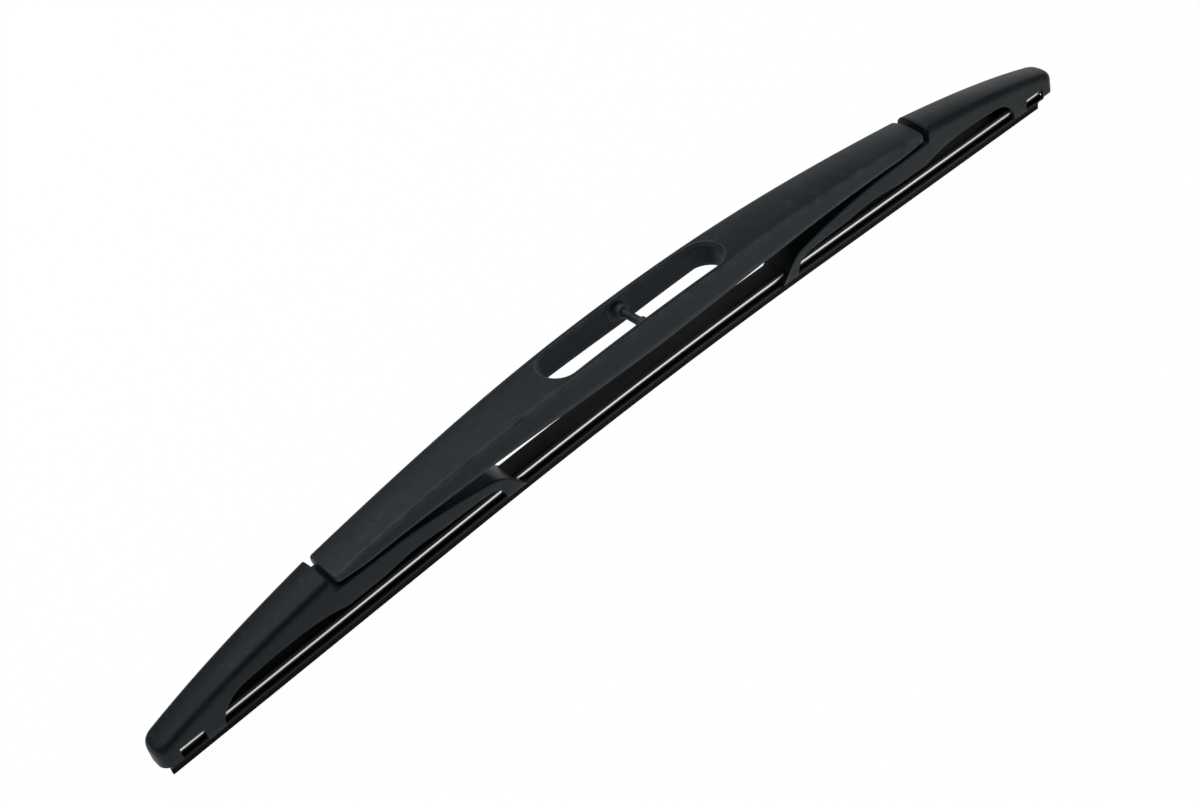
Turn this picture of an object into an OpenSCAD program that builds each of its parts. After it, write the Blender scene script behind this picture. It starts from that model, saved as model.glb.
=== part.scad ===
// Wiper blade: an arched bridge carries two pivoted end yokes, which hold a rubber element on two steel splines
// X runs along the blade, Y across it and Z up; the origin is the middle of the cross pin that the wiper arm clips on

/* [Bridge] */
// Length of the bridge
bridge_len = 230; // [215:1:245]
// Width of the bridge at its middle
bridge_mid_w = 18; // [17:0.25:20]
// Width of the bridge at its ends
bridge_end_w = 13; // [12.5:0.25:14]
// Height of the bridge's side edge over the cross pin, at the middle
bridge_rise = 4; // [3.5:0.1:5]
// Drop of the bridge's side edge from the middle to the ends
bridge_drop = 8.9; // [8.5:0.1:9.5]
// Height of the crown over the side edges
bridge_crown = 0.8; // [0.4:0.1:1.2]
// Radius of the edge between the crown and the side walls
bridge_edge_r = 0.7; // [0.4:0.1:1.2]
// Depth of the side walls at the middle
wall_mid_depth = 9.9; // [9:0.1:10.5]
// Depth of the side walls over the pivot bars
wall_bar_depth = 4.5; // [4:0.1:4.8]
// Thickness of the bridge at its end edge
bridge_end_t = 1.9; // [1.4:0.1:2.3]
// Thickness of the side walls
bridge_wall = 1.5; // [1.2:0.1:1.8]
// Thickness of the top
bridge_top_t = 1.3; // [1:0.1:1.6]
// Corner radius of the bridge's ends, seen from above
bridge_corner_r = 1.2; // [0.8:0.1:3]

/* [Arm slot] */
// Length of the slot in the bridge's top
slot_len = 68.8; // [60:0.5:76]
// Width of the slot
slot_w = 13.7; // [12.5:0.1:14]
// Overhang of the slot's rim over the well below it
rim_overhang = 0.6; // [0.3:0.05:0.9]
// Thickness of the walls that close the well's ends
well_wall = 1.4; // [1:0.1:2]

/* [Cross pin] */
// Diameter of the cross pin
pin_d = 2.7; // [2.4:0.1:3]
// Diameter of the boss at the pin's front end
front_boss_d = 3.9; // [3.4:0.1:4.6]
// Diameter of the boss at the pin's rear end
rear_boss_d = 4.3; // [3.4:0.1:4.8]
// Free length of the pin between its bosses
pin_free_len = 5.7; // [5:0.1:6]
// Distance from the middle to the rear boss
rear_boss_y = 4.5; // [4:0.1:5]
// Diameter of the round pads on the walls around the pin
pad_d = 8.4; // [7:0.2:9]
// Height of the pads
pad_t = 0.25; // [0.1:0.05:0.4]

/* [Pivots] */
// Distance from each end of the bridge to its pivot bar
pivot_inset = 14; // [12:0.5:17]
// Height of the pivot bars, from the cross pin
pivot_z = -5.45; // [-5.7:0.05:-5.3]
// Diameter of the pivot bars
pivot_d = 2.4; // [2:0.1:2.5]
// Radial play between a bar and its cradle
pivot_play = 0.08; // [0.05:0.01:0.1]
// Wall of the cradle around the bar
cradle_wall = 1.2; // [1:0.1:1.5]
// Height of the cradle's mouth over the bar's axis
cradle_grip = 0.5; // [0.3:0.05:0.6]
// Gap on each side between the cradle and the bridge's walls
cradle_gap = 0.5; // [0.4:0.05:0.8]

/* [Yokes] */
// Gap between the bridge's end and the cap
cap_gap = 2; // [1.8:0.1:3]
// Height of the cap's start over the bridge's end edge
cap_step = 0.4; // [0.2:0.1:0.8]
// Length of the cap
cap_len = 60.2; // [56:0.2:66]
// Slope of the cap's top, in mm for each mm
cap_slope = 0.19; // [0.17:0.01:0.21]
// Extra droop of the cap's top at its tip
cap_droop = 4; // [3.5:0.1:4.5]
// Width of the cap where it meets the bridge
cap_w = 13.2; // [12.8:0.1:14]
// Width of the cap at its tip
tip_w = 9.8; // [9.6:0.1:10.4]
// Height of the crown of the cap's top
cap_crown = 1; // [0.5:0.1:1.4]
// Radius of the cap's edges
cap_edge_r = 1.9; // [1.2:0.1:2.2]
// Radius of the cap's tip, seen from above
tip_r = 3.6; // [2.5:0.1:4.2]
// Height of the arm's top at the pivot, from the cross pin
arm_z = -8.5; // [-8.9:0.1:-8.3]
// Fall of the arm's top from the pivot to the inner claw
arm_fall = 5.4; // [4.8:0.1:6]
// Width of the arm at the inner claw
arm_end_w = 10.4; // [10:0.1:11]
// Thickness of the yoke's walls
yoke_wall = 1.1; // [0.9:0.1:1.3]
// Thickness of the yoke's top
yoke_top_t = 1.4; // [1.1:0.1:1.6]
// Height of the side walls' lower edge over the lip, at the pivot
side_mid_h = 15; // [14.5:0.1:15.5]
// Rise of the outer arch above that
outer_arch_rise = 2.2; // [1:0.1:2.6]
// Rise of the inner arch above that
inner_arch_rise = 0.9; // [0.3:0.1:1.2]
// Fall of the side walls' lower edge towards the inner claw
inner_arch_fall = 3; // [2:0.1:3.4]
// Distance from the cap's tip to the window behind it
tip_wall_len = 5.9; // [4.5:0.1:7]
// Height of the window over the lip
window_h = 10.8; // [10.4:0.1:11.4]
// Height of the tip wall's lower edge over the lip
tip_wall_h = 7.2; // [6.8:0.1:8.6]
// Thickness of the tip's end wall
tip_wall_t = 1.5; // [1.2:0.1:1.8]

/* [Claws] */
// Distance from each pivot bar to the inner claw's middle
arm_len = 46.3; // [44:0.1:48]
// Distance from the cap's tip to the outer claw's middle
outer_claw_inset = 16.8; // [15.5:0.1:18]
// Length of the inner claws along the blade
inner_claw_len = 7.3; // [6:0.1:8]
// Length of the outer claws along the blade
outer_claw_len = 5.8; // [5:0.1:7]
// Width over the claws' feet
claw_w = 9.3; // [9.2:0.05:9.6]
// Thickness of the claws' hooks
hook_t = 1.2; // [0.9:0.05:1.25]
// Reach of the hooks under the rubber's head, from their outer faces
hook_reach = 2.2; // [1.8:0.1:2.5]
// Gap between the claws and what they hold
claw_gap = 0.2; // [0.15:0.01:0.25]

/* [Rubber] */
// Gap between the left tip's end wall and the rubber's lip
left_end_gap = 1; // [0.9:0.1:3.2]
// Gap between the right tip's end wall and the rubber's lip
right_end_gap = 2.1; // [0.9:0.1:3.2]
// Depth of the lip below the cross pin, at the middle
lip_depth = 27.9; // [27.5:0.1:28.5]
// Droop of the rubber's ends below its middle
rubber_droop = 5.3; // [5:0.1:5.6]
// Length over which the rubber bends down around its middle
bend_len = 140; // [120:1:160]
// Height of the rubber from the lip to the head's top
rubber_h = 10.8; // [10.6:0.1:11]
// Width of the head over the splines
head_w = 7.1; // [6.8:0.1:7.3]
// Width of the flange under the splines
flange_w = 6.6; // [6.2:0.1:7]
// Thickness of the flange
flange_t = 1; // [0.8:0.05:1.1]
// Width of the neck under the flange
neck_w = 2.2; // [1.8:0.1:2.6]
// Width of the shoulder
shoulder_w = 6.2; // [5.6:0.1:6.6]
// Height of the shoulder's top over the lip
shoulder_h = 6; // [5.5:0.1:6.2]
// Thickness of the lip
lip_t = 0.7; // [0.6:0.05:1]

/* [Splines] */
// Width over both splines
spline_span = 7.34; // [7.2:0.02:7.4]
// Width of one spline
spline_w = 2.7; // [2.4:0.05:2.8]
// Thickness of a spline
spline_t = 0.9; // [0.8:0.05:1]
// Height of the splines' middle over the lip
spline_h = 9.3; // [9.2:0.05:9.4]
// Gap between a spline and the rubber around it
spline_gap = 0.05; // [0.03:0.01:0.08]
// Distance from each end of the rubber to the splines' ends
spline_inset = 1; // [0.6:0.2:4]

/* [Hidden] */
$fn = 48;
cut = 1;

half_len = bridge_len / 2;
pivot_x = half_len - pivot_inset;
pivot_r = pivot_d / 2;
bore_r = pivot_r + pivot_play;
cradle_r = bore_r + cradle_wall;
cap_start = half_len + cap_gap;
tip_x = cap_start + cap_len;
arm_flat_len = 6;
arm_flat_x = pivot_x - arm_flat_len;
wall_flat_x = pivot_x + 2;
window_end = tip_x - tip_wall_len;
tip_inner_x = tip_x - tip_wall_t;
rubber_start = left_end_gap - tip_inner_x;
rubber_end = tip_inner_x - right_end_gap;

inner_claw_x = pivot_x - arm_len;
outer_claw_x = tip_x - outer_claw_inset;
inner_claw_in = inner_claw_x - inner_claw_len / 2;
inner_claw_out = inner_claw_x + inner_claw_len / 2;
outer_claw_in = outer_claw_x - outer_claw_len / 2;
outer_claw_out = outer_claw_x + outer_claw_len / 2;

// Heights over the lip, from the neck up
flange_z = spline_h - spline_t / 2 - spline_gap - flange_t;
groove_z = flange_z + flange_t;
head_z = spline_h + spline_t / 2 + spline_gap;
hook_top = flange_z - claw_gap;
foot_h = hook_top - hook_t;
channel_top = rubber_h + claw_gap;
channel_hw = spline_span / 2 + claw_gap;
web_hw = spline_span / 2 - spline_w - spline_gap;

// The rubber's curve: an arc about the middle, then straight on at the arc's end angle
bend_angle = atan(rubber_droop / ((rubber_end - rubber_start) / 2 - bend_len / 4));
bend_r = bend_len / 2 / sin(bend_angle);
bend_steps = 16;
key_len = 2;
hook_hw = claw_w / 2 - hook_reach;

// Small shapes that follow from how the moulding is made
cap_draft = 0.3;
cap_face_r = 0.5;
tip_top_r = 1.4;
arm_crown = 0.2;
arm_edge_r = 0.6;
saddle_lip = 0.5;
inner_fillet = 5;
outer_fillet = 9;
boss_cone = 1.8;
cavity_chamfer = 0.6;
tip_cavity_r = 1.2;
tip_cavity_play = 0.05;
lip_h = 2.2;
shoulder_edge = 0.4;

function ease(t) = let (k = max(0, min(1, t))) k * k * (3 - 2 * k);
function part_of(x, a, b) = max(0, min(1, (x - a) / (b - a)));

// Height lost where an edge rounds down over its last stretch r, at distance d from the end
function round_off(d, r) = d >= r ? 0 : r - sqrt(max(0, r * r - pow(r - max(0, d), 2)));

// Stations on one side, mirrored to the other
function both_sides(list) = concat([for (i = [len(list) - 1:-1:1]) -list[i]], list);
function steps(a, b, n) = [for (i = [0:n]) a + (b - a) * i / n];

// The bridge, by distance x from the middle
function bridge_z(x) = bridge_rise - bridge_drop * pow(abs(x) / half_len, 2.2);
function bridge_hw(x) = (bridge_end_w + (bridge_mid_w - bridge_end_w) * pow(1 - pow(x / half_len, 2), 2)) / 2;
function wall_taper(x) = wall_mid_depth - (wall_mid_depth - wall_bar_depth) * pow(abs(x) / pivot_x, 1.5);
function wall_depth(x) = wall_taper(x)
    - (wall_taper(half_len) - bridge_end_t) * pow(part_of(abs(x), wall_flat_x, half_len), 1.5);

// The lip's edge
function lip_z(x) = -lip_depth - (abs(x) < bend_len / 2
    ? bend_r - sqrt(bend_r * bend_r - x * x)
    : bend_len / 2 * tan(bend_angle / 2) + (abs(x) - bend_len / 2) * tan(bend_angle));

// The yoke's top and sides, by distance x from the middle
function cap_z(x) = let (v = max(0, x - cap_start)) bridge_z(half_len) + cap_step - cap_slope * v
    - cap_droop * pow(v / cap_len, 2.6) - round_off(v, cap_face_r) - round_off(tip_x - x, tip_top_r);
function arm_z_at(x) = arm_z - arm_fall * pow(part_of(-x, -arm_flat_x, -inner_claw_out), 1.6);
function saddle_z(x) = let (low = lip_z(inner_claw_in) + foot_h + saddle_lip)
    arm_z_at(inner_claw_out) + (low - arm_z_at(inner_claw_out)) * part_of(-x, -inner_claw_out, -inner_claw_in);
function yoke_z(x) = x >= cap_start ? cap_z(x) : x >= inner_claw_out ? arm_z_at(x) : saddle_z(x);
function yoke_hw(x) = x > cap_start
    ? (cap_w + (tip_w - cap_w) * part_of(x, cap_start, tip_x)) / 2 - round_off(tip_x - x, tip_r)
    : (cap_w + (arm_end_w - cap_w) * ease(part_of(-x, -pivot_x, -inner_claw_in))) / 2;

// Height of the side walls' lower edge over the lip: two arches between the claws
function outer_arch(x) = side_mid_h
    + outer_arch_rise * sin(180 * pow(part_of(x, half_len, outer_claw_in), 0.7));
function inner_arch(x) = let (p = part_of(-x, -pivot_x, -inner_claw_out))
    side_mid_h + inner_arch_rise * sin(180 * min(1, 2 * p)) - inner_arch_fall * p * p;
function side_h(x) = x > pivot_x
    ? outer_arch(x) - (outer_arch(outer_claw_in) - foot_h) * round_off((outer_claw_in - x) / outer_fillet, 1)
    : inner_arch(x) - (inner_arch(inner_claw_out) - foot_h) * round_off((x - inner_claw_out) / inner_fillet, 1);
function claw_part(x) = part_of(-side_h(x), -side_mid_h, -foot_h);

// An inverted U's outline at x: half width hw at the edges and foot at the bottom, crowned top with edges of radius r
function corner(hw, zt, crown, r, t) = let (inner = hw - r, z2 = zt + crown * (1 - pow(inner / hw, 2)))
    [hw - r * t * t, (zt - r) * pow(1 - t, 2) + 2 * zt * t * (1 - t) + z2 * t * t];
function outline(hw, foot, zt, zb, crown, r) = concat(
    [[foot, zb]],
    [for (t = steps(0, 1, 4)) corner(hw, zt, crown, r, t)],
    [for (k = [2:-1:0]) let (y = (hw - r) * k / 3) [y, zt + crown * (1 - pow(y / hw, 2))]]);
function section(x, half) = concat(
    [for (p = half) [x, -p[0], p[1]]],
    [for (i = [len(half) - 1:-1:0]) if (half[i][0] > 0) [x, half[i][0], half[i][1]]]);

// A solid through sections of equally many points, in order of x
module skin(sections) {
    n = len(sections[0]);
    last = (len(sections) - 1) * n;
    sides = [for (i = [0:len(sections) - 2], j = [0:n - 1])
        let (a = i * n + j, b = i * n + (j + 1) % n)
        each [[a, b, b + n], [a, b + n, a + n]]];
    polyhedron([for (s = sections) each s], concat(
        [[for (j = [n - 1:-1:0]) j]],
        sides,
        [[for (j = [0:n - 1]) last + j]]));
}

module bridge_skin() {
    flat = half_len - bridge_corner_r;
    xs = both_sides(concat(steps(0, flat, 24), [for (a = [22.5:22.5:90]) flat + bridge_corner_r * sin(a)]));
    skin([for (x = xs) let (hw = bridge_hw(x) - round_off(half_len - abs(x), bridge_corner_r), z = bridge_z(x))
        section(x, outline(hw, hw, z, z - wall_depth(x), bridge_crown * hw * 2 / bridge_mid_w, bridge_edge_r))]);
}

module bridge_cavity() {
    end = half_len - bridge_wall;
    skin([for (x = both_sides(steps(0, end, 22))) let (hw = bridge_hw(x) - bridge_wall, z = bridge_z(x) - bridge_top_t)
        section(x, [[hw, -lip_depth], [hw, z - cavity_chamfer], [hw - cavity_chamfer, z]])]);
}

// A slot with round ends, straight up and down; wide is its width
module obround(wide) {
    straight = slot_len - slot_w;
    low = -2 * wall_mid_depth;
    translate([-straight / 2, -wide / 2, low]) cube([straight, wide, -2 * low]);
    for (side = [-1, 1]) translate([side * straight / 2, 0, low]) cylinder(d = wide, h = -2 * low);
}

// The well under the slot, and the hollow towards each end
module bridge_hollows() {
    start = slot_len / 2 + rim_overhang + well_wall;
    low = -2 * wall_mid_depth;
    intersection() {
        bridge_cavity();
        union() {
            obround(slot_w + 2 * rim_overhang);
            for (side = [0, 1]) mirror([side, 0, 0]) translate([start, -bridge_mid_w, low])
                cube([half_len, 2 * bridge_mid_w, -2 * low]);
        }
    }
}

// The pin's outline, from the front wall to the rear one
module cross_pin() {
    wall_y = bridge_mid_w / 2 - bridge_wall;
    root = bridge_wall / 2;
    front_y = rear_boss_y - pin_free_len;
    rotate([-90, 0, 0]) rotate_extrude() polygon([
        [0, -wall_y - root],
        [pad_d / 2, -wall_y - root],
        [pad_d / 2, -wall_y + pad_t],
        [front_boss_d / 2, -wall_y + pad_t],
        [front_boss_d / 2, front_y - boss_cone],
        [pin_d / 2 + 0.1, front_y - boss_cone / 3],
        [pin_d / 2, front_y],
        [pin_d / 2, rear_boss_y],
        [rear_boss_d / 2, rear_boss_y + (rear_boss_d - pin_d) / 4],
        [rear_boss_d / 2, wall_y - pad_t],
        [pad_d / 2, wall_y - pad_t],
        [pad_d / 2, wall_y + root],
        [0, wall_y + root]]);
}

module pivot_bar() {
    length = 2 * bridge_hw(pivot_x) - bridge_wall;
    translate([pivot_x, 0, pivot_z]) rotate([90, 0, 0]) cylinder(d = pivot_d, h = length, center = true);
}

module main_bridge() color("dimgray") {
    difference() {
        bridge_skin();
        bridge_hollows();
        obround(slot_w);
    }
    cross_pin();
    pivot_bar();
    mirror([1, 0, 0]) pivot_bar();
}

function yoke_section(x, z) = let (
    capped = x >= cap_start,
    hw = yoke_hw(x),
    foot = min(hw, hw + (claw_w / 2 - hw) * claw_part(x)),
    zb = lip_z(x) + side_h(x),
    crown = (capped ? cap_crown : arm_crown) * min(1, hw / (cap_w / 2)),
    r = min(capped ? cap_edge_r : arm_edge_r, hw * 0.7, (z - zb) * 0.6))
    section(x, outline(hw, foot, z, zb, crown, r));

module yoke_skin() {
    arm_end = cap_start - cap_draft;
    tip_flat = tip_x - tip_r;
    arch_start = inner_claw_out + inner_fillet;
    arch_end = outer_claw_in - outer_fillet;
    xs = concat(
        steps(inner_claw_in, inner_claw_out, 5),
        [for (a = [20:17.5:73]) arch_start - inner_fillet * cos(a)],
        steps(arch_start, arm_end, 14),
        [for (a = [0:30:60]) cap_start + cap_face_r * (1 - cos(a))],
        steps(cap_start + cap_face_r, arch_end, 8),
        [for (a = [72:-12:12]) arch_end + outer_fillet * cos(a)],
        steps(outer_claw_in, tip_flat, 5),
        [for (a = [20:14:76]) tip_flat + tip_r * sin(a)],
        [tip_x]);
    skin([for (x = xs) yoke_section(x, yoke_z(x))]);
}

// Room inside the yoke between two stations, under a top that lies drop below the outer one
module yoke_cavity(a, b, wide, n) {
    skin([for (x = steps(a, b, n)) let (
        hw = max(channel_hw + tip_cavity_play, yoke_hw(min(x, tip_x - tip_r)) - yoke_wall) - round_off(tip_inner_x - x, tip_cavity_r),
        z = (wide ? cap_z(min(x, tip_x - tip_top_r)) : arm_z_at(x)) - yoke_top_t)
        section(x, [[hw, lip_z(x)], [hw, z]])]);
}

// The channel through both claws for the rubber's head, the splines and the flange
module channel(a, b) {
    skin([for (x = steps(a, b, 4)) let (z = lip_z(x))
        section(x, [
            [hook_hw, z + foot_h - cut],
            [hook_hw, z + hook_top],
            [channel_hw, z + hook_top],
            [channel_hw, z + channel_top]])]);
}

module tip_cuts() {
    wide = 2 * cap_w;
    mid = (outer_claw_out + window_end) / 2;
    low = lip_z(tip_x) - cut;
    translate([outer_claw_out, -wide / 2, low]) cube([window_end - outer_claw_out, wide, lip_z(mid) + window_h - low]);
    translate([window_end - cut, -wide / 2, low])
        cube([tip_x - window_end + 2 * cut, wide, lip_z(tip_x) + tip_wall_h - low]);
}

// The snap cradle that stands on the arm and grips the pivot bar from below
module cradle() {
    wide = 2 * (bridge_hw(pivot_x + cradle_r) - bridge_wall - cradle_gap);
    web_h = pivot_z - arm_z + yoke_top_t / 2;
    translate([pivot_x, 0, pivot_z]) rotate([90, 0, 0]) cylinder(r = cradle_r, h = wide, center = true);
    translate([pivot_x - cradle_r, -wide / 2, pivot_z - web_h]) cube([2 * cradle_r, wide, web_h]);
}

module cradle_bore() {
    wide = 2 * cap_w;
    translate([pivot_x, 0, pivot_z]) rotate([90, 0, 0]) cylinder(r = bore_r, h = wide, center = true);
    translate([pivot_x - 2 * cradle_r, -wide / 2, pivot_z + cradle_grip]) cube([4 * cradle_r, wide, cradle_r]);
}

module yoke() {
    difference() {
        union() {
            difference() {
                yoke_skin();
                yoke_cavity(inner_claw_out + 2, cap_start + yoke_top_t, false, 12);
                yoke_cavity(cap_start + yoke_top_t, outer_claw_in - 2, true, 8);
                yoke_cavity(outer_claw_out + cut / 2, tip_inner_x - tip_cavity_r, true, 2);
                yoke_cavity(tip_inner_x - tip_cavity_r, tip_inner_x, true, 3);
                channel(inner_claw_in - cut, inner_claw_out + 3);
                channel(outer_claw_in - 3, outer_claw_out + cut);
                tip_cuts();
            }
            cradle();
        }
        cradle_bore();
    }
}

module right_yoke() color("dimgray") yoke();

module left_yoke() color("dimgray") mirror([1, 0, 0]) yoke();

// A section, drawn across the blade and up from the lip, run along the rubber's curve from one end to the other.
// The second child is a smaller section inside the first that keys the arc and the straight runs together.
module along_rubber(from, to) {
    joint = bend_len / 2;
    translate([0, 0, -lip_depth - bend_r]) {
        rotate([90, 0, 0]) rotate([0, 0, 90 - bend_angle])
            rotate_extrude(angle = 2 * bend_angle, $fn = bend_steps * 180 / bend_angle)
            translate([bend_r, 0]) rotate(-90) children(0);
        straight_run(joint, to) children(0);
        straight_run(joint - key_len, joint + key_len) children(1);
        mirror([1, 0, 0]) {
            straight_run(joint, -from) children(0);
            straight_run(joint - key_len, joint + key_len) children(1);
        }
    }
}

// One run along the straight part, between two distances from the middle
module straight_run(from, to) {
    start = (from - bend_len / 2) / cos(bend_angle);
    length = (to - from) / cos(bend_angle);
    rotate([0, bend_angle, 0]) translate([start, 0, bend_r]) rotate([90, 0, 90]) linear_extrude(length) children();
}

module rubber_element() color("darkslategray") {
    half = [
        [lip_t / 2, 0],
        [lip_t / 2, lip_h],
        [shoulder_w / 2, shoulder_h - 3 * shoulder_edge],
        [shoulder_w / 2, shoulder_h - shoulder_edge],
        [shoulder_w / 2 - shoulder_edge, shoulder_h],
        [neck_w / 2, shoulder_h],
        [neck_w / 2, flange_z],
        [flange_w / 2, flange_z],
        [flange_w / 2, groove_z],
        [web_hw, groove_z],
        [web_hw, head_z],
        [head_w / 2, head_z],
        [head_w / 2, rubber_h]];
    along_rubber(rubber_start, rubber_end) {
        polygon(concat(half, [for (i = [len(half) - 1:-1:0]) [-half[i][0], half[i][1]]]));
        translate([-neck_w / 4, shoulder_h / 2]) square([neck_w / 2, head_z - shoulder_h / 2]);
    }
}

module front_spline() color("silver") {
    along_rubber(rubber_start + spline_inset, rubber_end - spline_inset) {
        translate([-spline_span / 2, spline_h - spline_t / 2]) square([spline_w, spline_t]);
        translate([(spline_w - spline_span) / 2, spline_h]) square([spline_w / 2, spline_t / 2], center = true);
    }
}

module rear_spline() color("silver") mirror([0, 1, 0]) front_spline();

main_bridge();
left_yoke();
right_yoke();
rubber_element();
front_spline();
rear_spline();
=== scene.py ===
"""A black wiper blade on a white floor: the finish and the finer meshes that go over the CAD frame.

Every moulded piece is a skin through cross-sections. A section is half of the piece's outline at one distance
from the middle. It is drawn from the top's middle line, round the outside, up the inside and back to the
middle line. The curves repeat the ones of the CAD part. They are in millimetres, and a mesh is in metres.
"""
import math

import bmesh
import bpy
import numpy as np
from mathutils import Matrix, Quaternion, Vector


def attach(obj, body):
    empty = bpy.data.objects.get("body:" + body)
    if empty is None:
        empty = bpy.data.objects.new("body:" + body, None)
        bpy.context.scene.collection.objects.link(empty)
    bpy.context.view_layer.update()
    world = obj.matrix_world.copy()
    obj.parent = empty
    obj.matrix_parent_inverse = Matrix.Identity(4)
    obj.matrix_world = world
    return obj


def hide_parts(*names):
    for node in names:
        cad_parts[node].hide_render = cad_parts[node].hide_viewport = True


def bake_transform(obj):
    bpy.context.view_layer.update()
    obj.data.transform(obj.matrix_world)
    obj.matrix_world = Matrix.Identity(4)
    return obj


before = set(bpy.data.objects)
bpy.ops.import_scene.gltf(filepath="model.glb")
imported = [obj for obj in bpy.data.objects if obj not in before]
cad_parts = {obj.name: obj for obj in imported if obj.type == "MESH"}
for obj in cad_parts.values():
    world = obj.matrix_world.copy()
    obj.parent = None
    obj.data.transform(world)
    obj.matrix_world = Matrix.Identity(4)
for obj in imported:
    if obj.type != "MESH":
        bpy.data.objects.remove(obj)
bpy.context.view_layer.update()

MM = 0.001

# Bridge. Its heights are from the cross pin, and x is the distance from the middle
BRIDGE_HALF = 115.0
BRIDGE_MID_W = 18.0
BRIDGE_END_W = 13.0
BRIDGE_RISE = 4.0
BRIDGE_DROP = 8.9
BRIDGE_ARCH_POWER = 2.2
BRIDGE_CROWN = 0.8
BRIDGE_EDGE_R = 0.7
BRIDGE_CORNER_R = 1.2
BRIDGE_WALL = 1.5
BRIDGE_TOP_T = 1.3
BRIDGE_END_T = 1.9

# Slot and the well under it
SLOT_LEN = 68.8
SLOT_R = 6.85
SLOT_STRAIGHT = SLOT_LEN / 2 - SLOT_R
RIM_R = 0.3
RIM_OVERHANG = 0.6
WELL_R = SLOT_R + RIM_OVERHANG
WELL_WALL = 1.4

# Cross pin, its bosses and pads
PIN_R = 1.35
PIN_FREE_LEN = 5.7
FRONT_BOSS_R = 1.95
REAR_BOSS_R = 2.15
REAR_BOSS_Y = 4.5
FRONT_BOSS_Y = REAR_BOSS_Y - PIN_FREE_LEN
FRONT_CONE = 1.8
REAR_BOSS_EDGE = 0.4
BOSS_FILLET = 0.3
PAD_R = 4.2
PAD_T = 0.25
PAD_EDGE = 0.1

# Pivot bars and their cradles
PIVOT_INSET = 14.0
PIVOT_X = BRIDGE_HALF - PIVOT_INSET
PIVOT_Z = -5.45
PIVOT_R = 1.2
PIVOT_PLAY = 0.08
CRADLE_WALL = 1.2
CRADLE_R = PIVOT_R + PIVOT_PLAY + CRADLE_WALL
CRADLE_GRIP = 0.5
CRADLE_GAP = 0.5

# Depth of the bridge's side walls
WALL_MID_DEPTH = 9.9
WALL_BAR_DEPTH = 4.5
WALL_POWER = 1.5
WALL_FLAT_LEN = 2.0
WALL_FLAT_X = PIVOT_X + WALL_FLAT_LEN

# Rubber and splines. Their heights are over the lip
RUBBER_H = 10.8
LIP_DEPTH = 27.9
RUBBER_DROOP = 5.3
BEND_HALF = 70.0
SHOULDER_HALF_W = 3.1
SHOULDER_H = 6.0
NECK_HALF_W = 1.1
FLANGE_HALF_W = 3.3
FLANGE_T = 1.0
HEAD_HALF_W = 3.55
SPLINE_OUT = 3.67
SPLINE_W = 2.7
SPLINE_T = 0.9
SPLINE_H = 9.3
SPLINE_GAP = 0.05
SPLINE_INSET = 1.0
SPLINE_TIP_R = 1.0
SPLINE_EDGE_R = 0.15
GROOVE_Z = SPLINE_H - SPLINE_T / 2 - SPLINE_GAP
HEAD_Z = SPLINE_H + SPLINE_T / 2 + SPLINE_GAP
FLANGE_Z = GROOVE_Z - FLANGE_T
WEB_HALF_W = SPLINE_OUT - SPLINE_W - SPLINE_GAP

# Yokes: the cap
CAP_GAP = 2.0
CAP_LEN = 60.2
CAP_START = BRIDGE_HALF + CAP_GAP
TIP_X = CAP_START + CAP_LEN
CAP_STEP = 0.4
CAP_SLOPE = 0.19
CAP_DROOP = 4.0
CAP_DROOP_POWER = 2.6
CAP_W = 13.2
TIP_W = 9.8
CAP_CROWN = 1.0
CAP_EDGE_R = 1.9
CAP_DRAFT = 0.3
CAP_FACE_R = 0.5
TIP_R = 3.6
TIP_TOP_R = 1.4
TIP_WALL_H = 7.2
TIP_WALL_T = 1.5
TIP_INNER_X = TIP_X - TIP_WALL_T
TIP_WALL_LEN = 5.9
WINDOW_END = TIP_X - TIP_WALL_LEN
WINDOW_H = 10.8
WINDOW_LEAN = 0.9  # of the inward lean that its height asks for

# Yokes: the arm
ARM_Z = -8.5
ARM_FALL = 5.4
ARM_FALL_POWER = 1.6
ARM_FLAT_LEN = 6.0
ARM_FLAT_X = PIVOT_X - ARM_FLAT_LEN
ARM_END_W = 10.4
ARM_CROWN = 0.2
ARM_EDGE_R = 0.6
YOKE_WALL = 1.1
YOKE_TOP_T = 1.4
SIDE_MID_H = 15.0
OUTER_ARCH_RISE = 2.2
OUTER_ARCH_SKEW = 0.7
INNER_ARCH_RISE = 0.9
INNER_ARCH_FALL = 3.0
INNER_FILLET = 5.0
OUTER_FILLET = 9.0

# Claws: each reaches from its inner to its outer end along the blade
ARM_LEN = 46.3
OUTER_CLAW_INSET = 16.8
INNER_CLAW_LEN = 7.3
OUTER_CLAW_LEN = 5.8
INNER_CLAW_X = PIVOT_X - ARM_LEN
OUTER_CLAW_X = TIP_X - OUTER_CLAW_INSET
INNER_CLAW = (INNER_CLAW_X - INNER_CLAW_LEN / 2, INNER_CLAW_X + INNER_CLAW_LEN / 2)
OUTER_CLAW = (OUTER_CLAW_X - OUTER_CLAW_LEN / 2, OUTER_CLAW_X + OUTER_CLAW_LEN / 2)
CLAW_GAP = 0.2
CLAW_HALF_W = 4.65
CLAW_SOLID = 2.0  # length beside a claw that has no hollow
CLAW_ROOF_T = 0.1
HOOK_REACH = 2.2
HOOK_T = 1.2
HOOK_HALF_W = CLAW_HALF_W - HOOK_REACH
HOOK_TOP_H = FLANGE_Z - CLAW_GAP
FOOT_H = HOOK_TOP_H - HOOK_T
CHANNEL_HALF_W = SPLINE_OUT + CLAW_GAP
CHANNEL_TOP_H = RUBBER_H + CLAW_GAP
CHANNEL_STEP = 0.05  # least step from the channel to the hollow around it
SADDLE_LIP = 0.5
SADDLE_FILLET = 2.8  # only here: the CAD part has a plain corner

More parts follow.
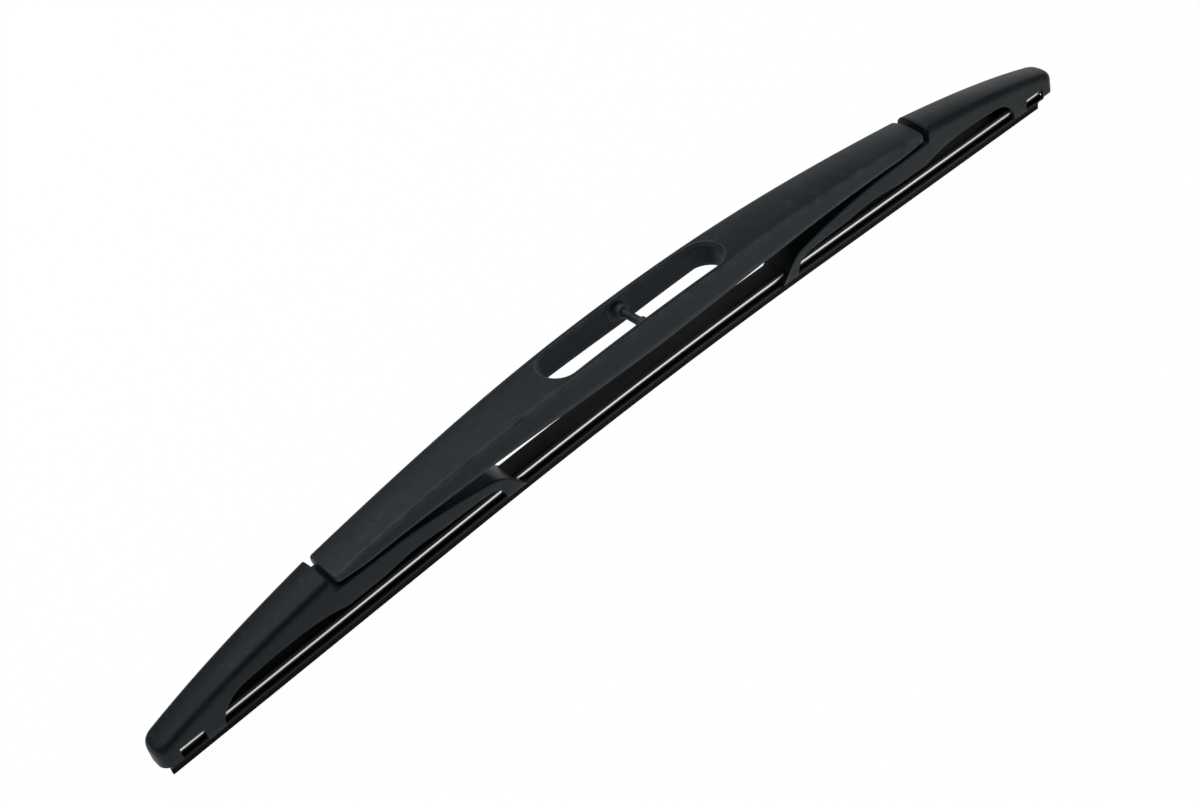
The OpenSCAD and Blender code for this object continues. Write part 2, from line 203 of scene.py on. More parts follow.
# The rubber's length, from the gaps at its ends, and its curve
LEFT_END_GAP = 1.0
RIGHT_END_GAP = 2.1
RUBBER_HALF = TIP_INNER_X - (LEFT_END_GAP + RIGHT_END_GAP) / 2
RUBBER_SHIFT = (LEFT_END_GAP - RIGHT_END_GAP) / 2
BEND_ANGLE = math.atan(RUBBER_DROOP / (RUBBER_HALF - BEND_HALF / 2))
BEND_R = BEND_HALF / math.sin(BEND_ANGLE)

# How the sections are drawn: the edges' limits, and the points on each stretch
LOWER_EDGE_R = 0.3
LOWER_EDGE_LEAN = 0.1  # the share of the side's lean that is left for its lower edge
LOWER_EDGE_SHARE = 0.4  # the most of a side's height that its lower edge takes
TOP_EDGE_W_SHARE = 0.7  # the most of a yoke's half width that its top edge takes
TOP_EDGE_H_SHARE = 0.6  # the most of a yoke's height that its top edge takes
CROWN_POINTS = 9
TOP_EDGE_POINTS = 8
SIDE_POINTS = 4
LOWER_EDGE_POINTS = 3
BRIDGE_INSIDE_POINTS = (3, 5, 5)
YOKE_INSIDE_POINTS = (3, 2, 2, 4, 5)

# Tolerances in metres
WELD = 0.002 * MM
SLIVER = 0.001 * MM
IN_PLANE = 1e-7

AT_LIMIT = 1e-9  # allows for rounding where a section lies on a limit, in mm
FULL_WEAR_AND_HIGHLIGHT_BEND = 0.34  # an edge that bends this much, in radians, gets all of the paler edge colour, which is partly wear and partly a painted highlight


# The curves


def ease(t):
    t = min(1.0, max(0.0, t))
    return t * t * (3 - 2 * t)


def part_of(x, a, b):
    return min(1.0, max(0.0, (x - a) / (b - a)))


def round_off(distance, radius):
    """Height lost where an edge rounds down over its last stretch."""
    if distance >= radius:
        return 0.0
    return radius - math.sqrt(max(0.0, radius**2 - (radius - max(0.0, distance)) ** 2))


def bridge_z(x):
    return BRIDGE_RISE - BRIDGE_DROP * (abs(x) / BRIDGE_HALF) ** BRIDGE_ARCH_POWER


def bridge_half_w(x):
    wide = (1 - (x / BRIDGE_HALF) ** 2) ** 2
    return (BRIDGE_END_W + (BRIDGE_MID_W - BRIDGE_END_W) * wide) / 2


def bridge_crown(x):
    return BRIDGE_CROWN * bridge_half_w(x) * 2 / BRIDGE_MID_W


def bridge_top(x, y):
    return bridge_z(x) + bridge_crown(x) * (1 - (y / bridge_half_w(x)) ** 2)


def wall_taper(x):
    return WALL_MID_DEPTH - (WALL_MID_DEPTH - WALL_BAR_DEPTH) * (abs(x) / PIVOT_X) ** WALL_POWER


def wall_depth(x):
    end = part_of(abs(x), WALL_FLAT_X, BRIDGE_HALF) ** WALL_POWER
    return wall_taper(x) - (wall_taper(BRIDGE_HALF) - BRIDGE_END_T) * end


def lip_z(x):
    """The lip's edge: an arc about the middle, then straight on."""
    if abs(x) < BEND_HALF:
        return -LIP_DEPTH - BEND_R + math.sqrt(BEND_R**2 - x * x)
    return -LIP_DEPTH - BEND_HALF * math.tan(BEND_ANGLE / 2) - (abs(x) - BEND_HALF) * math.tan(BEND_ANGLE)


def cap_z(x):
    v = max(0.0, x - CAP_START)
    droop = CAP_DROOP * (v / CAP_LEN) ** CAP_DROOP_POWER
    rounding = round_off(v, CAP_FACE_R) + round_off(TIP_X - x, TIP_TOP_R)
    return bridge_z(BRIDGE_HALF) + CAP_STEP - CAP_SLOPE * v - droop - rounding


def arm_z(x):
    return ARM_Z - ARM_FALL * part_of(-x, -ARM_FLAT_X, -INNER_CLAW[1]) ** ARM_FALL_POWER


def saddle_z(x):
    if x >= INNER_CLAW[1]:
        return arm_z(x)
    low = lip_z(INNER_CLAW[0]) + FOOT_H + SADDLE_LIP
    top = arm_z(INNER_CLAW[1])
    return top + (low - top) * part_of(-x, -INNER_CLAW[1], -INNER_CLAW[0])


def yoke_z(x):
    """The yoke's top: the cap, or the arm and its saddle with a fillet between them."""
    if x >= CAP_START:
        return cap_z(x)
    t = (x - INNER_CLAW[1] + SADDLE_FILLET) / (2 * SADDLE_FILLET)
    if not 0 < t < 1:
        return saddle_z(x)
    a, b, c = (saddle_z(INNER_CLAW[1] + k * SADDLE_FILLET) for k in (-1, 0, 1))
    return a * (1 - t) ** 2 + 2 * b * t * (1 - t) + c * t**2


def yoke_half_w(x):
    if x > CAP_START:
        wide = CAP_W + (TIP_W - CAP_W) * part_of(x, CAP_START, TIP_X)
        return wide / 2 - round_off(TIP_X - x, TIP_R)
    return (CAP_W + (ARM_END_W - CAP_W) * ease(part_of(-x, -PIVOT_X, -INNER_CLAW[0]))) / 2


def arch_h(x):
    """Height of the yoke's lower edge over the lip between its claws: two arches."""
    if x > PIVOT_X:
        p = part_of(x, BRIDGE_HALF, OUTER_CLAW[0])
        arch = SIDE_MID_H + OUTER_ARCH_RISE * math.sin(math.pi * p**OUTER_ARCH_SKEW)
        return arch - (SIDE_MID_H - FOOT_H) * round_off((OUTER_CLAW[0] - x) / OUTER_FILLET, 1)
    p = part_of(-x, -PIVOT_X, -INNER_CLAW[1])
    arch = SIDE_MID_H + INNER_ARCH_RISE * math.sin(math.pi * min(1, 2 * p)) - INNER_ARCH_FALL * p * p
    end = SIDE_MID_H - INNER_ARCH_FALL - FOOT_H
    return arch - end * round_off((x - INNER_CLAW[1]) / INNER_FILLET, 1)


# Sections


def corner(a, b, c, n):
    """n points of a curve that leaves a towards b and arrives at c, without a itself."""
    t = np.linspace(0, 1, n + 1)[1:]
    a, b, c = (np.array(p, float) for p in (a, b, c))
    return [tuple(a * (1 - k) ** 2 + 2 * b * k * (1 - k) + c * k**2) for k in t]


def line(a, b, n):
    """n points on the straight from a to b, without a itself."""
    a, b = np.array(a, float), np.array(b, float)
    return [tuple(a + (b - a) * k) for k in np.linspace(0, 1, n + 1)[1:]]


def outside(y_in, half_w, foot, top, bottom, crown, edge_r):
    """The outer half outline, from y_in: over the crown, round the edge, down the side, round its foot."""

    def crown_z(y):
        return top + crown * (1 - (y / half_w) ** 2)

    y_edge = max(half_w - edge_r, y_in)
    points = [(y, crown_z(y)) for y in np.linspace(y_in, y_edge, CROWN_POINTS)]
    points += corner(points[-1], (half_w, crown_z(half_w)), (half_w, top - edge_r), TOP_EDGE_POINTS)
    r = min(LOWER_EDGE_R, (top - edge_r - bottom) * LOWER_EDGE_SHARE)
    low = (foot + (half_w - foot) * LOWER_EDGE_LEAN, bottom + r)
    points += line(points[-1], low, SIDE_POINTS)
    points += corner(low, (foot, bottom), (foot - r, bottom), LOWER_EDGE_POINTS)
    return points


def add_inside(points, corners, counts):
    """Goes on along straights through the corners, with this many points on each."""
    for target, n in zip(corners, counts):
        points += line(points[-1], target, n)


# Meshes


def skin(name, stations):
    """A quad skin through stations of equally many (x, y, z) points, in mm, open along its sides."""
    mesh = bpy.data.meshes.new(name)
    count = len(stations[0])
    vertices = [tuple(c * MM for c in p) for s in stations for p in s]
    faces = [
        (i * count + j, i * count + j + 1, (i + 1) * count + j + 1, (i + 1) * count + j)
        for i in range(len(stations) - 1)
        for j in range(count - 1)
    ]
    mesh.from_pydata(vertices, [], faces)
    return mesh


def spun(name, profile, around=48):
    """A round piece along Y through (radius, y) points, in mm, with its centre line at x = z = 0."""
    stations = []
    for k in range(around + 1):
        a = 2 * math.pi * k / around
        stations.append([(r * math.cos(a), y, r * math.sin(a)) for r, y in profile])
    return skin(name, stations)


def add_mesh(bm, mesh):
    bm.from_mesh(mesh)
    bpy.data.meshes.remove(mesh)


def mirrored(bm, *axes):
    """Doubles everything in bm across each axis in turn and welds it, less the faces in the middle plane."""
    for axis in axes:
        middle = [f for f in bm.faces if all(abs(v.co[axis]) < IN_PLANE for v in f.verts)]
        bmesh.ops.delete(bm, geom=middle, context="FACES")
        copy = bmesh.ops.duplicate(bm, geom=bm.verts[:] + bm.edges[:] + bm.faces[:])["geom"]
        for v in (g for g in copy if isinstance(g, bmesh.types.BMVert)):
            v.co[axis] = -v.co[axis]
        bmesh.ops.reverse_faces(bm, faces=[g for g in copy if isinstance(g, bmesh.types.BMFace)])
        bmesh.ops.remove_doubles(bm, verts=bm.verts, dist=WELD)


def close_end(bm, x):
    """Fills the open loop that lies in the plane at x, in mm."""
    edges = [e for e in bm.edges if e.is_boundary and all(abs(v.co.x - x * MM) < IN_PLANE for v in e.verts)]
    bmesh.ops.holes_fill(bm, edges=edges, sides=0)


def mark_wear_and_highlight(bm):
    """Marks the convex edges with a value on each vertex: the mask for their paler colour, which is partly
    polished wear and partly a painted highlight.
    """
    layer = bm.verts.layers.float.new("edge_wear_and_highlight")
    for v in bm.verts:
        bend = sum(max(0.0, e.calc_face_angle_signed(0.0)) for e in v.link_edges)
        v[layer] = min(1.0, bend / FULL_WEAR_AND_HIGHLIGHT_BEND)


def mark_height(bm):
    """Marks each vertex with its height over the lip, in mm."""
    layer = bm.verts.layers.float.new("above_lip")
    for v in bm.verts:
        v[layer] = v.co.z / MM - lip_z(v.co.x / MM)


def finish_mesh(bm, name, sharp=35.0, wear_and_highlight=False):
    """Welds, cleans and shades a mesh, and makes it an object."""
    bmesh.ops.remove_doubles(bm, verts=bm.verts, dist=WELD)
    bmesh.ops.dissolve_degenerate(bm, edges=bm.edges, dist=SLIVER)
    bmesh.ops.recalc_face_normals(bm, faces=bm.faces)
    # the convex edges get a mask for a paler colour: partly wear, partly a painted highlight
    if wear_and_highlight:
        mark_wear_and_highlight(bm)
    mesh = bpy.data.meshes.new(name)
    bm.to_mesh(mesh)
    bm.free()
    mesh.shade_smooth()
    mesh.set_sharp_from_angle(angle=math.radians(sharp))
    piece = bpy.data.objects.new(name, mesh)
    bpy.context.collection.objects.link(piece)
    return piece


# The bridge


def slot_outline(reach):
    """A quarter of the slot's outline, moved out to this radius: along the straight, then round the end."""
    straight = [(x, reach) for x in np.linspace(0, SLOT_STRAIGHT, 29)]
    turn = np.radians(np.linspace(0, 90, 17)[1:])
    return straight + [(SLOT_STRAIGHT + reach * math.sin(a), reach * math.cos(a)) for a in turn]


def half_chord(x, reach):
    """Half width of the slot's outline of this radius at x."""
    over = max(0.0, x - SLOT_STRAIGHT)
    return math.sqrt(max(0.0, reach**2 - over**2))


def bridge_section(x, hollow):
    rounding = round_off(BRIDGE_HALF - x, BRIDGE_CORNER_R)
    half_w = bridge_half_w(x) - rounding
    top = bridge_z(x)
    bottom = top - wall_depth(x)
    rim_r = SLOT_R + RIM_R
    slot_y = half_chord(x, rim_r) if x < SLOT_STRAIGHT + rim_r + AT_LIMIT else 0.0
    wall_y, ceiling = 0.0, bottom
    if hollow:
        wall_y = bridge_half_w(x) - BRIDGE_WALL
        if x < SLOT_STRAIGHT + WELL_R + AT_LIMIT:
            wall_y = min(wall_y, half_chord(x, WELL_R))
        ceiling = top - BRIDGE_TOP_T
    points = outside(slot_y, half_w, half_w, top, bottom, bridge_crown(x), BRIDGE_EDGE_R)
    add_inside(points, [(wall_y, bottom), (wall_y, ceiling), (slot_y, ceiling)], BRIDGE_INSIDE_POINTS)
    return [(x, y, z) for y, z in points]


def bridge_stations():
    """Where the sections of half the bridge lie, from the middle to the end, and which are hollow."""
    well_end = SLOT_STRAIGHT + WELL_R
    hollow_start = well_end + WELL_WALL
    flat = BRIDGE_HALF - BRIDGE_CORNER_R
    first = math.asin((SLOT_R + RIM_R) / WELL_R)
    well_round = SLOT_STRAIGHT + WELL_R * np.sin(np.linspace(first, math.pi / 2, 6)[1:])
    end_round = flat + BRIDGE_CORNER_R * np.sin(np.radians(np.arange(15, 91, 15)))
    runs = [
        (True, [x for x, _ in slot_outline(SLOT_R + RIM_R)]),
        (True, well_round),
        (False, [well_end, hollow_start]),
        (True, np.linspace(hollow_start, flat, 52)),
        (False, end_round),
    ]
    return [(x, hollow) for hollow, run in runs for x in run]


def slot_rim():
    """The slot's rounded rim, from the top, round its edge, down and back under the top."""
    rings = []
    for a in np.radians(np.linspace(0, 90, 6)):
        out, down = RIM_R * (1 - math.sin(a)), RIM_R * (1 - math.cos(a))
        rings.append([(x, y, bridge_top(x, y) - down) for x, y in slot_outline(SLOT_R + out)])
    for reach, lift in ((SLOT_R, RIM_R), (SLOT_R + RIM_R, 0.0)):
        rings.append([(x, y, bridge_z(x) - BRIDGE_TOP_T + lift) for x, y in slot_outline(reach)])
    return rings


def bridge_shell():
    bm = bmesh.new()
    add_mesh(bm, skin("bridge", [bridge_section(x, hollow) for x, hollow in bridge_stations()]))
    add_mesh(bm, skin("rim", slot_rim()))
    mirrored(bm, 1, 0)
    for end in (-BRIDGE_HALF, BRIDGE_HALF):
        close_end(bm, end)
    return bm


def pin_mesh():
    """The cross pin with its bosses and pads, from inside one wall to inside the other."""
    wall = BRIDGE_MID_W / 2 - BRIDGE_WALL
    root = wall + BRIDGE_WALL / 2
    front, rear = PAD_T - wall, wall - PAD_T
    cone_bend = (PIN_R + 0.05, FRONT_BOSS_Y - 1.5)
    profile = [(0.0, -root), (PAD_R, -root), (PAD_R, front - PAD_EDGE), (PAD_R - PAD_EDGE, front)]
    profile += [(FRONT_BOSS_R + BOSS_FILLET, front)]
    profile += corner(profile[-1], (FRONT_BOSS_R, front), (FRONT_BOSS_R, front + BOSS_FILLET), 4)
    profile += [(FRONT_BOSS_R, FRONT_BOSS_Y - FRONT_CONE)]
    profile += corner(profile[-1], cone_bend, (PIN_R, FRONT_BOSS_Y), 6)
    profile += [(PIN_R, REAR_BOSS_Y)]
    profile += corner(profile[-1], (REAR_BOSS_R, REAR_BOSS_Y), (REAR_BOSS_R, REAR_BOSS_Y + REAR_BOSS_EDGE), 4)
    profile += [(REAR_BOSS_R, rear - BOSS_FILLET)]
    profile += corner(profile[-1], (REAR_BOSS_R, rear), (REAR_BOSS_R + BOSS_FILLET, rear), 4)
    profile += [(PAD_R - PAD_EDGE, rear), (PAD_R, rear + PAD_EDGE), (PAD_R, root), (0.0, root)]
    return spun("pin", profile, 64)


def main_bridge():
    bm = bridge_shell()
    add_mesh(bm, pin_mesh())
    reach = bridge_half_w(PIVOT_X) - BRIDGE_WALL / 2
    for side in (-1, 1):
        bar = spun("bar", [(0, -reach), (PIVOT_R, -reach), (PIVOT_R, reach), (0, reach)])
        for v in bar.vertices:
            v.co += Vector((side * PIVOT_X, 0, PIVOT_Z)) * MM
        add_mesh(bm, bar)
    # the bridge's convex edges are marked for a paler colour: partly wear, partly a painted highlight
    return finish_mesh(bm, "bridge_moulding", wear_and_highlight=True)


# The yokes. A section's kind is claw, solid (over the rubber's head), hollow, window or end (the tip's wall)


def yoke_side_h(x, kind):
    """Height of the yoke's lower edge over the lip."""
    if kind == "window":
        return WINDOW_H
    if x > WINDOW_END - AT_LIMIT:
        return TIP_WALL_H
    if kind in ("solid", "hollow") and INNER_CLAW[1] <= x <= OUTER_CLAW[0]:
        return arch_h(x)
    return FOOT_H


def yoke_inside(kind, half_w, top, bottom, lip):
    """The five corners of the inner half outline, from the lower edge up to the middle line."""
    hook_z = lip + HOOK_TOP_H
    if kind == "end":
        return [(0.0, bottom)] * 5
    if kind == "claw":
        roof = min(lip + CHANNEL_TOP_H, top - CLAW_ROOF_T)
        hook = [(HOOK_HALF_W, bottom), (HOOK_HALF_W, hook_z), (CHANNEL_HALF_W, hook_z)]
        return hook + [(CHANNEL_HALF_W, roof), (0.0, roof)]
    if kind == "solid":
        wall_y = CHANNEL_HALF_W
        roof = max(lip + CHANNEL_TOP_H, bottom + CHANNEL_STEP)
    else:
        wall_y = max(CHANNEL_HALF_W + CHANNEL_STEP, half_w - YOKE_WALL)
        roof = top - YOKE_TOP_T
    shelf = min(max(hook_z, bottom), roof)
    return [(wall_y, bottom), (wall_y, shelf), (wall_y, shelf), (wall_y, roof), (0.0, roof)]


def yoke_section(x, kind):
    half_w = yoke_half_w(x)
    top = yoke_z(x)
    lip = lip_z(x)
    side_h = yoke_side_h(x, kind)
    bottom = lip + side_h
    lean = part_of(-side_h, -SIDE_MID_H, -FOOT_H)
    if kind == "window":
        lean *= WINDOW_LEAN
    foot = min(half_w, half_w + (CLAW_HALF_W - half_w) * lean)
    capped = x >= CAP_START
    crown = (CAP_CROWN if capped else ARM_CROWN) * min(1.0, half_w / (CAP_W / 2))
    edge_r = CAP_EDGE_R if capped else ARM_EDGE_R
    edge_r = min(edge_r, half_w * TOP_EDGE_W_SHARE, (top - bottom) * TOP_EDGE_H_SHARE)
    points = outside(0.0, half_w, foot, top, bottom, crown, edge_r)
    add_inside(points, yoke_inside(kind, half_w, top, bottom, lip), YOKE_INSIDE_POINTS)
    return [(x, y, z) for y, z in points]


def yoke_stations():
    """Where the yoke's sections lie, from the inner claw to the tip, and the kind of each."""
    arch_start = INNER_CLAW[1] + INNER_FILLET
    arch_end = OUTER_CLAW[0] - OUTER_FILLET
    inner_solid = INNER_CLAW[1] + CLAW_SOLID
    outer_solid = OUTER_CLAW[0] - CLAW_SOLID
    tip_flat = TIP_X - TIP_R
    inner_round = arch_start - INNER_FILLET * np.cos(np.radians(np.linspace(0, 84, 13)))
    outer_round = arch_end + OUTER_FILLET * np.cos(np.radians(np.linspace(84, 0, 15)))
    face_round = CAP_START + CAP_FACE_R * (1 - np.cos(np.radians(np.arange(0, 90, 15))))
    tip_round = tip_flat + TIP_R * np.sin(np.radians(np.arange(6, 91, 6)))
    runs = [
        ("claw", np.linspace(*INNER_CLAW, 12)),
        ("solid", [*inner_round[inner_round < inner_solid], inner_solid]),
        ("hollow", [inner_solid, *inner_round[inner_round > inner_solid]]),
        ("hollow", np.linspace(arch_start, CAP_START - CAP_DRAFT, 40)),
        ("hollow", face_round),
        ("hollow", np.linspace(CAP_START + CAP_FACE_R, arch_end, 26)),
        ("hollow", [*outer_round[outer_round < outer_solid], outer_solid]),
        ("solid", [outer_solid, *outer_round[outer_round > outer_solid]]),
        ("claw", np.linspace(*OUTER_CLAW, 7)),
        ("window", np.linspace(OUTER_CLAW[1], WINDOW_END, 9)),
        ("hollow", np.linspace(WINDOW_END, tip_flat, 4)),
        ("hollow", [*tip_round[tip_round < TIP_INNER_X], TIP_INNER_X]),
        ("end", [TIP_INNER_X, *tip_round[tip_round > TIP_INNER_X]]),
    ]
    return [(x, kind) for kind, run in runs for x in run]


def yoke_shell():
    bm = bmesh.new()
    add_mesh(bm, skin("yoke", [yoke_section(x, kind) for x, kind in yoke_stations()]))
    mirrored(bm, 1)
    close_end(bm, INNER_CLAW[0])
    close_end(bm, TIP_X)
    return bm


def cradle_mesh():
    """The snap cradle on the arm: a block with a round seat for the pivot bar, open at the top."""
    wide = bridge_half_w(PIVOT_X + CRADLE_R) - BRIDGE_WALL - CRADLE_GAP
    bore = PIVOT_R + PIVOT_PLAY
    mouth = math.asin(CRADLE_GRIP / bore)
    outer = math.asin(CRADLE_GRIP / CRADLE_R)
    base = ARM_Z - PIVOT_Z - YOKE_TOP_T / 2
    seat = [(bore * math.cos(a), bore * math.sin(a)) for a in np.linspace(mouth, -math.pi - mouth, 33)]
    back = [(-CRADLE_R * math.cos(outer), CRADLE_GRIP), (-CRADLE_R, 0), (-CRADLE_R, base)]
    front = [(CRADLE_R, base), (CRADLE_R, 0), (CRADLE_R * math.cos(outer), CRADLE_GRIP)]
    loop = [((PIVOT_X + x) * MM, (PIVOT_Z + z) * MM) for x, z in seat + back + front]
    bm = bmesh.new()
    rings = [[bm.verts.new((x, y * MM, z)) for x, z in loop] for y in (-wide, wide)]
    for i in range(len(loop)):
        j = (i + 1) % len(loop)
        bm.faces.new((rings[0][i], rings[0][j], rings[1][j], rings[1][i]))
    bm.faces.new(rings[0])
    bm.faces.new(rings[1][::-1])
    mesh = bpy.data.meshes.new("cradle")
    bm.to_mesh(mesh)
    bm.free()
    return mesh


def yoke(name, side):
    bm = yoke_shell()
    add_mesh(bm, cradle_mesh())
    if side < 0:
        for v in bm.verts:
            v.co.x = -v.co.x
        bmesh.ops.reverse_faces(bm, faces=bm.faces)
    return finish_mesh(bm, name)


# The rubber and the splines: two halves each, one from the middle to each end


def rubber_outline():
    """Half of the rubber's outline as (y, height over the lip), from the lip's edge up to the head's top."""
    lip = [(0.0, 0.0), (0.28, 0.0), (0.35, 0.1), (0.36, 1.4), (0.5, 2.2), (0.95, 3.0)]
    w, h = SHOULDER_HALF_W, SHOULDER_H
    shoulder = [(w - 0.35, h - 1.25), (w - 0.08, h - 0.95), (w, h - 0.7)]
    shoulder += [(w, h - 0.4), (w - 0.08, h - 0.2), (w - 0.3, h - 0.05), (w - 0.6, h)]
    w = NECK_HALF_W
    neck = [(w + 0.2, h), (w, h + 0.2), (w, FLANGE_Z - 0.2), (w + 0.2, FLANGE_Z)]
    w, h = FLANGE_HALF_W, FLANGE_Z
    flange = [(w - 0.2, h), (w - 0.05, h + 0.08), (w, h + 0.2)]
    h = GROOVE_Z
    flange += [(w, h - 0.18), (w - 0.08, h - 0.04), (w - 0.25, h)]
    groove = [(WEB_HALF_W, GROOVE_Z), (WEB_HALF_W, HEAD_Z)]
    w, h = HEAD_HALF_W, HEAD_Z
    head = [(w - 0.25, h), (w - 0.07, h + 0.06), (w, h + 0.2)]
    h = RUBBER_H
    head += [(w, h - 0.3), (w - 0.07, h - 0.1), (w - 0.25, h - 0.02), (2.2, h), (0.0, h)]
    return lip + shoulder + neck + flange + groove + head


def half_stations(side, inset, step=3.0):
    """Stations from the middle to one end of the rubber, less inset."""
    end = side * RUBBER_HALF + RUBBER_SHIFT - side * inset
    return np.linspace(0, end, int(abs(end) / step) + 2)


def rubber(name, side):
    xs = half_stations(side, 0)
    outline = rubber_outline()
    bm = bmesh.new()
    add_mesh(bm, skin("rubber", [[(x, y, lip_z(x) + h) for y, h in outline] for x in xs]))
    mirrored(bm, 1)
    close_end(bm, 0.0)
    close_end(bm, xs[-1])
    mark_height(bm)
    return finish_mesh(bm, name, 30.0)


def spline(name, side, face):
    """A strip with rounded edges and a rounded tip; face is -1 for the front one and 1 for the rear one."""
    xs = half_stations(side, SPLINE_INSET)
    end = xs[-1]
    near_tip = end - side * SPLINE_TIP_R * (1 - np.sin(np.radians(np.arange(0, 91, 15))))
    xs = np.concatenate([xs[np.abs(xs) < abs(end) - SPLINE_TIP_R], near_tip])
    inner = SPLINE_OUT - SPLINE_W
    flat_z = SPLINE_T / 2 - SPLINE_EDGE_R
    stations = []
    for x in xs:
        outer = SPLINE_OUT - round_off(abs(end) - abs(x), SPLINE_TIP_R)
        ring = []
        for y, start in ((outer - SPLINE_EDGE_R, 0), (inner + SPLINE_EDGE_R, 90)):
            turn = np.radians(np.linspace(start, start + 90, 4))
            ring += [(y + SPLINE_EDGE_R * math.cos(a), flat_z + SPLINE_EDGE_R * math.sin(a)) for a in turn]
        ring += [(y, -z) for y, z in reversed(ring)]
        ring.append(ring[0])
        stations.append([(x, face * y, lip_z(x) + SPLINE_H + z) for y, z in ring])
    bm = bmesh.new()
    add_mesh(bm, skin("spline", stations))
    bmesh.ops.remove_doubles(bm, verts=bm.verts, dist=WELD)
    close_end(bm, 0.0)
    close_end(bm, end)
    return finish_mesh(bm, name, 40.0)


# Materials

PLASTIC_TONES = ((0.0070, 0.0100, 0.0120), (0.0105, 0.0140, 0.0165))
PLASTIC_SCRATCH = (0.05, 0.055, 0.058)
# the next colour is for convex edges: partly wear, partly a painted highlight
PLASTIC_WORN_AND_HIGHLIT = (0.066, 0.080, 0.088)
PLASTIC_SHEEN = (0.76, 0.92, 1.0, 1.0)
RUBBER_TONES = ((0.0042, 0.0044, 0.0044), (0.0110, 0.0107, 0.0098))
STEEL_TONES = ((0.74, 0.73, 0.70), (0.88, 0.87, 0.84))


class Nodes:
    """A few short calls for building a node tree."""

    def __init__(self, tree):
        self.tree = tree

    def add(self, kind, inputs=None, **settings):
        node = self.tree.nodes.new(kind)
        for key, value in settings.items():
            setattr(node, key, value)
        for key, value in (inputs or {}).items():
            if isinstance(value, bpy.types.NodeSocket):
                self.tree.links.new(value, node.inputs[key])
            else:
                node.inputs[key].default_value = value
        return node

    def math(self, operation, a, b):
        return self.add("ShaderNodeMath", {0: a, 1: b}, operation=operation).outputs[0]

    def noise(self, coords, scale, detail=3.0, rough=0.5):
        inputs = {"Vector": coords, "Scale": scale, "Detail": detail, "Roughness": rough}
        return self.add("ShaderNodeTexNoise", inputs).outputs["Fac"]

    def stretched(self, coords, scale, turn=(0, 0, 0)):
        return self.add("ShaderNodeMapping", {"Vector": coords, "Rotation": turn, "Scale": scale}).outputs[0]

    def ramp(self, value, low, high, start=0.0, end=1.0):
        inputs = {"Value": value, "From Min": low, "From Max": high, "To Min": start, "To Max": end}
        return self.add("ShaderNodeMapRange", inputs).outputs[0]

    def mark(self, name):
        """A value that a mesh carries on its vertices."""
        return self.add("ShaderNodeAttribute", attribute_name=name).outputs["Fac"]

    def mix(self, factor, a, b):
        node = self.add("ShaderNodeMix", {"Factor": factor}, data_type="RGBA")
        for socket, value in zip((node.inputs[6], node.inputs[7]), (a, b)):
            if isinstance(value, bpy.types.NodeSocket):
                self.tree.links.new(value, socket)
            else:
                socket.default_value = (*value, 1.0)
        return node.outputs[2]

    def bump(self, height, strength, distance):
        inputs = {"Strength": strength, "Distance": distance * MM, "Height": height}
        return self.add("ShaderNodeBump", inputs).outputs[0]


def material(name):
    made = bpy.data.materials.new(name)
    made.use_nodes = True
    nodes = Nodes(made.node_tree)
    shader = made.node_tree.nodes["Principled BSDF"]
    coords = nodes.add("ShaderNodeTexCoord").outputs["Object"]
    return made, nodes, shader, coords


def link_to(n, shader, sockets):
    for name, value in sockets.items():
        n.tree.links.new(value, shader.inputs[name])


def black_plastic():
    """Satin black, lightly grained and scuffed, and paler on its convex edges, partly from wear and partly as
    a painted highlight.
    """
    made, n, shader, coords = material("satin_black_plastic")
    cloud = n.noise(coords, 60.0, 4.0)
    fine = n.noise(coords, 900.0, 3.0)
    grain = n.noise(coords, 5200.0, 2.0)
    scratch = n.noise(n.stretched(coords, (60.0, 900.0, 900.0)), 1.0, 6.0, 0.7)
    scuff = n.noise(n.stretched(coords, (90.0, 300.0, 1500.0), turn=(0, 0.7, 0)), 1.0, 5.0, 0.65)
    lines = n.math("MAXIMUM", n.ramp(scratch, 0.60, 0.70), n.ramp(scuff, 0.58, 0.68))
    # convex edges are painted paler: partly wear, partly a painted highlight along the creases and rims
    wear_and_highlight = n.math("MULTIPLY", n.mark("edge_wear_and_highlight"), n.ramp(n.noise(coords, 220.0, 4.0), 0.3, 0.6, 0.45, 1.0))
    tone = n.mix(n.ramp(cloud, 0.35, 0.65), *PLASTIC_TONES)
    tone = n.mix(n.math("MULTIPLY", lines, 0.4), tone, PLASTIC_SCRATCH)
    tone = n.mix(wear_and_highlight, tone, PLASTIC_WORN_AND_HIGHLIT)
    rough = n.math("ADD", n.ramp(cloud, 0.3, 0.7, 0.40, 0.48), n.ramp(fine, 0.3, 0.7, -0.03, 0.03))
    height = n.math("ADD", n.math("MULTIPLY", grain, 0.7), n.math("MULTIPLY", fine, 0.3))
    link_to(n, shader, {"Base Color": tone, "Roughness": rough, "Normal": n.bump(height, 0.25, 0.02)})
    shader.inputs["Specular IOR Level"].default_value = 0.24
    shader.inputs["Specular Tint"].default_value = PLASTIC_SHEEN
    return made


